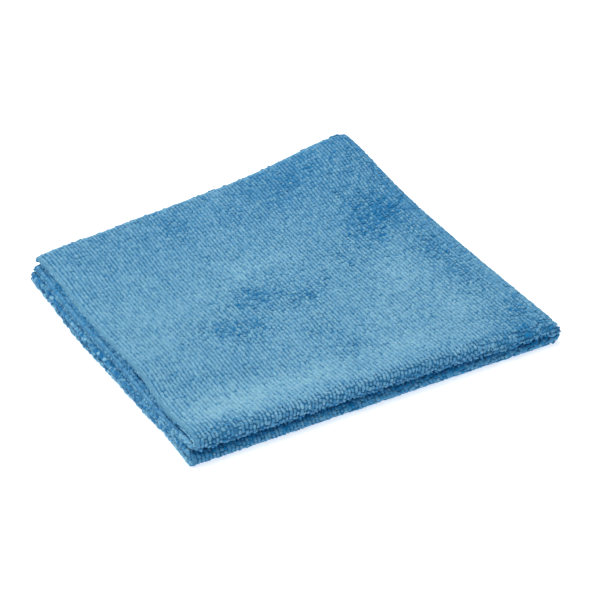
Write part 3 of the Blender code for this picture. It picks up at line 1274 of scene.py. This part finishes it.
    def loops(self, part: PilePart, spots: Spots, seed: int) -> Build:
        """The mesh of one stretch of pile.

        Args:
            part: The stretch.
            spots: Its loops' places.
            seed: Its own random seed.

        Returns:
            The mesh's arrays.
        """
        rng = np.random.default_rng(seed)
        count = len(spots.thick)
        x, y, z = spots.point.T
        normal = spots.outward * part.skin.value
        upright = normal[:, 2]
        on_top = (upright > self.top_upright) & (z > self.top_from_z) & (part.skin is Skin.OUTER)
        tone, ruffle = self.brushed(spots, on_top)

        # The cleft between the rolled layers is painted in shade, the upper roll is painted darker on its
        # face as it turns down from the light, and the upper roll hangs over the cleft
        over_cleft = z > self.cleft_height
        cleft_painted_shade = np.clip(np.where(over_cleft, -upright, upright), 0, 1)
        face_painted_shade = smooth_step(self.face_ramp * (1 - upright))
        tone = tone + (part.tone + part.face * face_painted_shade) * (1 + self.cleft_shade * cleft_painted_shade)
        lip = np.clip(-upright, 0, 1) * over_cleft
        away = (spots.point[:, :2] - np.array(self.corner)) / self.corner_reach
        fluff = np.exp(-(away**2).sum(axis=1))

        # How each loop turns, leans and stands
        sunk_share = part.sunk + self.sunk_ruffled * np.clip(ruffle - self.sunk_from, 0, 1)
        sunk = np.where(rng.random(count) < sunk_share, self.sunk_height, 1.0)
        yaw = np.radians(self.turn_deg + rng.normal(0, self.turn_spread_deg.at(ruffle), count))[:, None]
        long_way = spots.along * np.cos(yaw) + spots.across * np.sin(yaw)
        lean = np.zeros_like(normal)
        ways = (spots.along, spots.across)
        for way, usual, swirls, spread in zip(ways, self.leans, self.swirls, self.lean_spreads):
            swirl = swirls.level(x, y) * self.swirl.at(ruffle)
            lean += (usual + swirl + rng.normal(0, spread.at(ruffle, fluff), count))[:, None] * way
        foot = self.ground.half(spots) - self.sink
        room = (spots.thick / 2 - foot) / (self.ground.pile_depth + self.sink)
        tall = self.height * part.tall * rng.normal(1.0, self.size_spread, count)
        tall *= np.clip(room, self.least_room, 1) * sunk
        tall *= (1 + self.corner_rise * fluff) * (1 + part.lip * lip)
        size = rng.normal(1.0, self.size_spread, count)
        size *= np.where(rng.random(count) < self.small_share, self.small_size, 1.0)
        size *= 1 - self.narrowed * ruffle + self.widened * np.clip(tone, 0, 1)

        # How light its foot is, that is how little shade is painted at its root, and its own tone, which
        # carries the painted light and shade
        level = self.pressed.at(ruffle) + self.root_shade_depth * self.root_shade_swells.level(x, y)
        level += part.root_lift + self.tip_light * np.clip(tone, 0, 1)
        root = np.clip(level, 0, self.lightest_foot)[:, None]
        own_tone = tone + rng.normal(0, self.tone_spread.at(ruffle), count)
        nap = np.clip(own_tone, self.darkest, np.maximum(tone + self.lighter, self.lightest))
        vectors = (
            long_way * (self.half_long * part.long * size)[:, None],
            np.cross(normal, long_way) * (self.half_wide * part.wide * size)[:, None],
            normal * tall[:, None],
            lean * tall[:, None],
        )
        base = spots.point + normal * foot[:, None]
        # Sunk loops take less of the tip colour, which paints shade in their pits.
        return part.detail.value.stand(base, vectors, (root, np.sqrt(sunk)), nap)

    def make(self, finish: TerryFinish) -> list[bpy.types.Object]:
        """Builds all stretches of pile.

        Args:
            finish: The yarn's finish.

        Returns:
            The pieces.
        """
        material = finish.material()
        places = {skin: self.places(skin) for skin in Skin}
        masks = {skin: self.masks(spots) for skin, spots in places.items()}
        pieces = []
        for number, part in enumerate(PILE_PARTS):
            spots = places[part.skin].chosen(masks[part.skin][part.name])
            build = self.loops(part, spots, self.seed + 100 + number)
            pieces.append(build.piece(part.name, material))
        return pieces


def tubes(paths: Array, radius: float, sides: int, taper: float = 1.0) -> tuple[Array, Array]:
    """Thin tubes along short paths.

    Args:
        paths: Points as (tube, point, 3).
        radius: The tubes' radius at their start.
        sides: How many sides each tube has.
        taper: The end's radius as a share of the start's.

    Returns:
        Points and triangles.
    """
    count, length = paths.shape[:2]
    tangent = unit(np.gradient(paths, axis=1))
    chord = unit(paths[:, -1] - paths[:, 0] + 1e-9)[:, None, :]
    bulge = paths[:, length // 2] - (paths[:, 0] + paths[:, -1]) / 2
    aside = unit(np.cross(chord, unit(bulge + np.array([1e-7, 2e-7, 3e-7]))[:, None, :]))
    up = unit(np.cross(tangent, aside + np.zeros_like(tangent)))
    turn = np.arange(sides) / sides * math.tau
    thick = radius * np.linspace(1.0, taper, length)[None, :, None, None]
    ring = up[:, :, None, :] * np.cos(turn)[None, None, :, None]
    ring = ring + np.cross(tangent, up)[:, :, None, :] * np.sin(turn)[None, None, :, None]
    points = paths[:, :, None, :] + ring * thick
    number = np.arange(count * length * sides).reshape(count, length, sides)
    following = np.roll(number, -1, axis=2)
    a, b, c, d = number[:, :-1], following[:, :-1], number[:, 1:], following[:, 1:]
    triangles = [np.stack(corners, -1).reshape(-1, 3) for corners in ([a, b, d], [a, d, c])]
    return points.reshape(-1, 3), np.concatenate(triangles)


@dataclass
class HemThread:
    """Overlock stitches that wrap all four edges of the sheet.

    Each row of stitch says how many bites inside the edge a point lies, and which share of the sheet's
    half thickness it stands out. The ends dip into the ground.
    """

    form: FoldedSheet
    ground: GroundSheet
    pitch: float = 0.80 * MM
    bite: float = 1.0 * MM
    bite_spread: float = 0.05
    wander: float = 0.06
    slant: float = 0.6 * MM
    radius: float = 0.20 * MM
    proud: float = 0.14 * MM
    sides: int = 4
    beyond: float = 0.05 * MM
    dip: float = 0.16 * MM
    stitch: Table = ((1, 1), (0.55, 1), (0.12, 0.8), (0, 0), (0.12, -0.8), (0.55, -1), (1, -1))
    seed: int = 41

    def edge_paths(self, edge: Edge) -> tuple[Array, Array]:
        """The stitches of one edge.

        Args:
            edge: The edge.

        Returns:
            Paths as (stitch, point, 3), and how far each stitch lies open to the light.
        """
        rng = np.random.default_rng(self.seed + edge.on_hem + 2 * int(edge.sign))
        run = self.form.edge_length(edge)
        count = round(run / self.pitch)
        start = (np.arange(count) + 0.5) / count * 2 - 1
        inset, side = np.array(self.stitch).T
        drift = np.linspace(-0.5, 0.5, len(inset)) * self.slant / (run / 2)
        bites = self.bite * rng.normal(1.0, self.bite_spread, (count, 1))
        place = start[:, None] + drift + rng.normal(0, self.wander, (count, 1)) * self.pitch / run
        spots, out, _ = self.form.near_edge(edge, np.clip(place, -1, 1), bites * inset)
        height = (self.ground.half(spots) + self.proud - self.dip * (inset == 1)) * side
        beyond = (self.form.hem_round + self.beyond) * (1 - side**2)
        paths = spots.point + spots.outward * height[..., None] + out * beyond[:, None]
        return paths, self.form.lit(spots)[:, len(inset) // 2]

    def make(self, finish: ThreadFinish) -> bpy.types.Object:
        """Builds the stitches of all edges as one piece.

        Args:
            finish: The thread's finish.

        Returns:
            The piece.
        """
        paths, lit = (np.concatenate(column) for column in zip(*map(self.edge_paths, Edge)))
        points, triangles = tubes(paths, self.radius, self.sides)
        numbers = {"open": np.repeat(lit, len(points) // len(lit))}
        return Build(points, triangles, numbers).piece("hem_thread", finish.material())


@dataclass(frozen=True)
class TuftRow:
    """Loops along one stretch of edge. Sizes are in millimetres, and 0 degrees points straight out."""

    edge: Edge
    start: float
    end: float
    inset: float
    per_pitch: float
    size: float
    tone: float
    uneven: float
    low_deg: float
    high_deg: float


# The dark tones of the rows on layers 2 and 3, under the layer above each, are painted shade, and so are the
# dark rows that hang down into the gaps.
TUFT_ROWS = tuple(
    TuftRow(*row)
    for row in (
        # edge, start, end, inset, per pitch, size, tone, uneven, lowest and highest angle
        (Edge.UPPER_HEM, 0.03, 1.00, 0.0, 0.60, 0.55, 0.12, 0.16, -55, 50),
        (Edge.UPPER_HEM, 0.03, 1.00, 0.0, 0.90, 0.80, -0.10, 0.20, -85, -50),
        (Edge.UPPER_HEM, 0.03, 1.00, 0.8, 2.10, 1.05, -0.24, 0.20, -100, -75),
        (Edge.UPPER_HEM, -0.95, -0.03, 0.0, 1.30, 0.55, -0.20, 0.18, -50, 20),
        (Edge.UPPER_HEM, -0.97, -0.03, 3.9, 1.80, 0.85, -0.66, 0.20, -100, -80),
        (Edge.UPPER_HEM, -1.00, -0.03, 0.0, 1.60, 0.85, -0.25, 0.24, 30, 95),
        (Edge.UPPER_HEM, -0.28, -0.03, 0.0, 2.20, 1.05, -0.25, 0.30, 25, 95),
        (Edge.UPPER_HEM, -0.08, 0.08, 0.0, 2.60, 0.90, -0.20, 0.20, -95, 0),
        (Edge.LOWER_HEM, -0.98, -0.03, 0.0, 1.60, 0.95, -0.60, 0.38, 35, 95),
        (Edge.LOWER_HEM, -0.98, -0.03, 1.1, 1.80, 0.90, -0.56, 0.34, 65, 100),
        (Edge.LOWER_HEM, -0.98, -0.03, 2.1, 1.60, 0.90, -0.58, 0.30, 65, 100),
        (Edge.LOWER_HEM, -0.98, -0.03, 0.0, 1.00, 0.75, -0.52, 0.38, -80, 30),
        (Edge.LOWER_HEM, -0.28, -0.03, 0.6, 2.00, 1.15, -0.35, 0.36, 20, 90),
        (Edge.LOWER_HEM, 0.03, 0.98, 0.0, 1.40, 0.80, -0.05, 0.30, -90, 40),
        (Edge.LOWER_HEM, 0.03, 0.28, 0.0, 2.00, 1.05, -0.16, 0.34, -95, -20),
        (Edge.LOWER_HEM, -0.08, 0.08, 0.0, 2.60, 0.90, -0.30, 0.34, -95, 20),
        (Edge.UPPER_SIDE, 0.00, 0.99, 0.0, 1.00, 0.60, -0.08, 0.18, -50, 60),
        (Edge.UPPER_SIDE, -0.02, 0.09, 0.0, 2.00, 0.95, -0.16, 0.20, -40, 60),
        (Edge.UPPER_SIDE, -0.98, 0.00, 0.0, 0.60, 0.50, -0.34, 0.18, -60, 30),
        (Edge.LOWER_SIDE, -0.98, 0.98, 0.0, 0.70, 0.55, -0.40, 0.20, -60, 60),
    )
)


@dataclass
class EdgeTufts:
    """Loops that slipped out past the stitches, mostly at the lower pair's hem."""

    form: FoldedSheet
    pitch: float = 1.15 * MM
    sink: float = 0.25 * MM
    beyond: float = 0.3 * MM
    long: float = 1.25
    tall: float = 1.2
    lean_spread: float = 0.5
    inset_spread: tuple[float, float] = (0.7, 1.3)
    size_spread: tuple[float, float] = (0.75, 1.25)
    foot_light: float = 0.2
    shade: float = 0.6
    least_light: float = 0.5
    tone_limits: tuple[float, float] = (-0.85, 0.25)
    seed: int = 57

    def row(self, row: TuftRow, rng: np.random.Generator) -> tuple[Array, Array, Array, Array, Array]:
        """Places the loops of one row.

        Args:
            row: The row.
            rng: The source of its unevenness.

        Returns:
            Their roots, their directions, the edge's own direction, their sizes and their tones.
        """
        run = self.form.edge_length(row.edge) * (row.end - row.start) / 2
        count = round(run / self.pitch * row.per_pitch)
        place = rng.uniform(row.start, row.end, count)
        inset = row.inset * MM * rng.uniform(*self.inset_spread, count)
        spots, out, way = self.form.near_edge(row.edge, place, inset)
        angle = np.radians(rng.uniform(row.low_deg, row.high_deg, count))[:, None]
        size = row.size * MM * rng.uniform(*self.size_spread, (count, 1))
        tone = rng.normal(row.tone, row.uneven, count)
        out, up = out * np.cos(angle), spots.outward * np.sin(angle)
        root = spots.point + up * (spots.thick[:, None] / 2 - self.sink) + out * self.beyond
        return root, unit(out + up), way, size, tone

    def make(self, material: bpy.types.Material) -> bpy.types.Object:
        """Builds the tufts as one piece.

        Args:
            material: The yarn's finish.

        Returns:
            The piece.
        """
        rng = np.random.default_rng(self.seed)
        rows = [self.row(row, rng) for row in TUFT_ROWS]
        base, normal, way, size, tone = (np.concatenate(column) for column in zip(*rows))
        lean = way * rng.normal(0, self.lean_spread, (len(base), 1))
        wide = np.cross(normal, way) * size
        ways = (way * size * self.long, wide, (normal + lean) * size * self.tall, np.zeros_like(base))
        # Tufts of darker tone take less of the tip colour, which deepens their painted shade.
        light = (self.foot_light, np.clip(1 + self.shade * tone, self.least_light, 1.0))
        build = Detail.FINE.value.stand(base, ways, light, np.clip(tone, *self.tone_limits))
        return build.piece("edge_tufts", material)


@dataclass
class LooseFibres:
    """Fine fibres that stand out of the pile."""

    form: FoldedSheet
    count: int = 1500
    length: float = 1.9 * MM
    radius: float = 0.045 * MM
    sides: int = 3
    taper: float = 0.35
    sink: float = 0.3 * MM
    margin: float = 3 * MM
    lowest: float = 5 * MM
    steepest: float = -0.3
    on_roll: tuple[float, float] = (-0.02, 0.03)
    on_fold: tuple[float, float] = (-0.05, 0.07)
    light: float = 0.9
    tone: float = 0.1
    bends: Table = ((0.40, 0.25), (0.48, 0.80))
    seed: int = 71

    def make(self, material: bpy.types.Material) -> bpy.types.Object:
        """Builds the fibres as one piece.

        Args:
            material: The yarn's finish.

        Returns:
            The piece.
        """
        rng = np.random.default_rng(self.seed)
        third, sixth = self.count // 3, self.count // 3 // 2
        across, along = rng.uniform(-1, 1, self.count), rng.uniform(0.0, 1, self.count)

        # A third of them stand on the rolled edge, and a sixth on the second fold
        along[:third] = rng.uniform(*self.on_roll, third)
        across[third : third + sixth] = rng.uniform(*self.on_fold, sixth)
        spots = self.form.spots(across, along)
        shown = (spots.point[:, 2] > self.lowest) | (spots.outward[:, 2] > self.steepest)
        spots = spots.chosen(shown & (spots.from_edge > self.margin))
        count = len(spots.thick)
        side = unit(spots.across * rng.normal(0, 1, (count, 1)) + spots.along * rng.normal(0, 1, (count, 1)))
        length = self.length * rng.uniform(0.5, 1.0, (count, 1))
        start = spots.point + spots.outward * (spots.thick / 2 - self.sink)[:, None]
        middle, end = (start + (spots.outward * up + side * over) * length for up, over in self.bends)
        points, triangles = tubes(np.stack([start, middle, end], 1), self.radius, self.sides, self.taper)
        numbers = {"lift": np.full(len(points), self.light), "nap": np.full(len(points), self.tone)}
        return Build(points, triangles, numbers).piece("loose_fibres", material)


@dataclass(frozen=True)
class SoftLight:
    """A large square lamp that points at the cloth."""

    name: str
    place: Triple
    size: float
    power: float

    def make(self) -> None:
        """Adds the lamp."""
        lamp = bpy.data.lights.new(self.name, "AREA")
        lamp.shape, lamp.size, lamp.energy = "SQUARE", self.size, self.power
        made = bpy.data.objects.new(self.name, lamp)
        made.location = self.place
        made.rotation_euler = Vector([-v for v in self.place]).to_track_quat("-Z", "Y").to_euler()
        bpy.context.scene.collection.objects.link(made)


@dataclass
class Studio:
    """The floor, the lamps and the camera."""

    camera_place: Triple = (-0.53571, -1.00125, 0.82849)
    camera_aim: Triple = (0.00802, 0.00108, 0.0)
    lens_mm: float = 170.85
    sensor_mm: float = 36.0
    clip: tuple[float, float] = (0.05, 30.0)
    floor_size: float = 9.0
    sky: float = 0.34
    lamps: tuple[SoftLight, ...] = (
        SoftLight("key_lamp", (-0.10, 0.34, 1.40), 1.0, 16.5),
        SoftLight("side_lamp", (-1.4, -0.2, 0.42), 1.0, 4.5),
    )

    def make(self, finish: FloorFinish) -> None:
        """Builds the studio.

        Args:
            finish: The floor's finish.
        """
        reach = self.floor_size / 2
        mesh = bpy.data.meshes.new("floor")
        corners = [(-reach, -reach, 0.0), (reach, -reach, 0.0), (reach, reach, 0.0), (-reach, reach, 0.0)]
        mesh.from_pydata(corners, [], [(0, 1, 2, 3)])
        mesh.materials.append(finish.material())
        floor = bpy.data.objects.new("floor", mesh)
        bpy.context.scene.collection.objects.link(floor)
        for lamp in self.lamps:
            lamp.make()
        world = bpy.data.worlds.new("soft_sky")
        world.use_nodes = True
        background = world.node_tree.nodes["Background"]
        background.inputs["Color"].default_value = (*WHITE, 1.0)
        background.inputs["Strength"].default_value = self.sky
        bpy.context.scene.world = world
        bpy.context.scene.view_settings.view_transform = "Standard"
        self.add_camera()

    def add_camera(self) -> None:
        """Adds the camera at the photograph's angle."""
        lens = bpy.data.cameras.new("camera")
        lens.lens, lens.sensor_width, lens.sensor_fit = self.lens_mm, self.sensor_mm, "AUTO"
        lens.clip_start, lens.clip_end = self.clip
        camera = bpy.data.objects.new("camera", lens)
        camera.location = self.camera_place
        forward = Vector(self.camera_aim) - Vector(self.camera_place)
        camera.rotation_euler = forward.to_track_quat("-Z", "Y").to_euler()
        bpy.context.scene.collection.objects.link(camera)
        bpy.context.scene.camera = camera


def main() -> None:
    """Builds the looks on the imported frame, in order."""
    logging.basicConfig(level=logging.INFO, format="%(name)s: %(message)s")
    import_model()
    Studio().make(FloorFinish())
    form = FoldedSheet()
    ground = GroundSheet(form)
    sheet = ground.make(GroundFinish())
    pile = Pile(form, ground).make(TerryFinish())
    thread = HemThread(form, ground).make(ThreadFinish())
    yarn = pile[0].data.materials[0]
    loose = [EdgeTufts(form).make(yarn), LooseFibres(form).make(yarn)]


if __name__ == "__main__":
    main()
